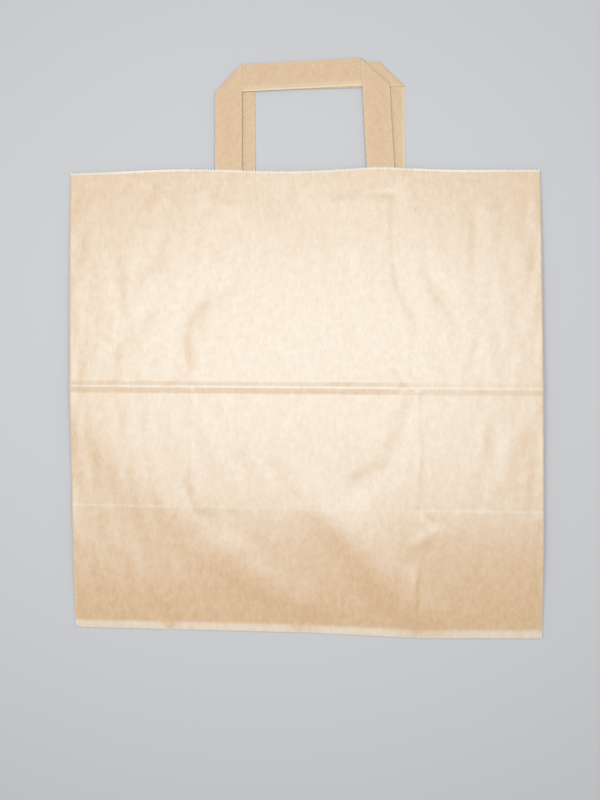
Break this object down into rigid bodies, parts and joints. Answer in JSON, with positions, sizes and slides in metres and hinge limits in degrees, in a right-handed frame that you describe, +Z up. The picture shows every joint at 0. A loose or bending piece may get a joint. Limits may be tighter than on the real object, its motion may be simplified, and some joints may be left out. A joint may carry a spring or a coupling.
{
  "type": "flat-folded paper carrier bag",
  "caption": "Gusseted kraft paper carrier bag lying folded flat, with a pasted block bottom, a pinked mouth and flat tape handles glued inside under patches.",
  "frame": {"origin": "on the table under the middle of the bag's own box", "axes": "+Y from the bag's lower edge to its handles, +Z up through the front panel, +X across the bag"},
  "size_m": [0.32, 0.388, 0.0067],
  "materials": {
    "kraft_paper": "unprinted brown kraft, smooth machine finish with a slight sheen",
    "handle_tape": "unprinted brown kraft tape, folded in plies",
    "patch_paper": "unprinted brown kraft, matt"
  },
  "bodies": {
    "root": {"bag_body": "kraft_paper", "front_handle": "handle_tape", "back_handle": "handle_tape", "front_handle_patch": "patch_paper", "back_handle_patch": "patch_paper"}
  },
  "joints": []
}
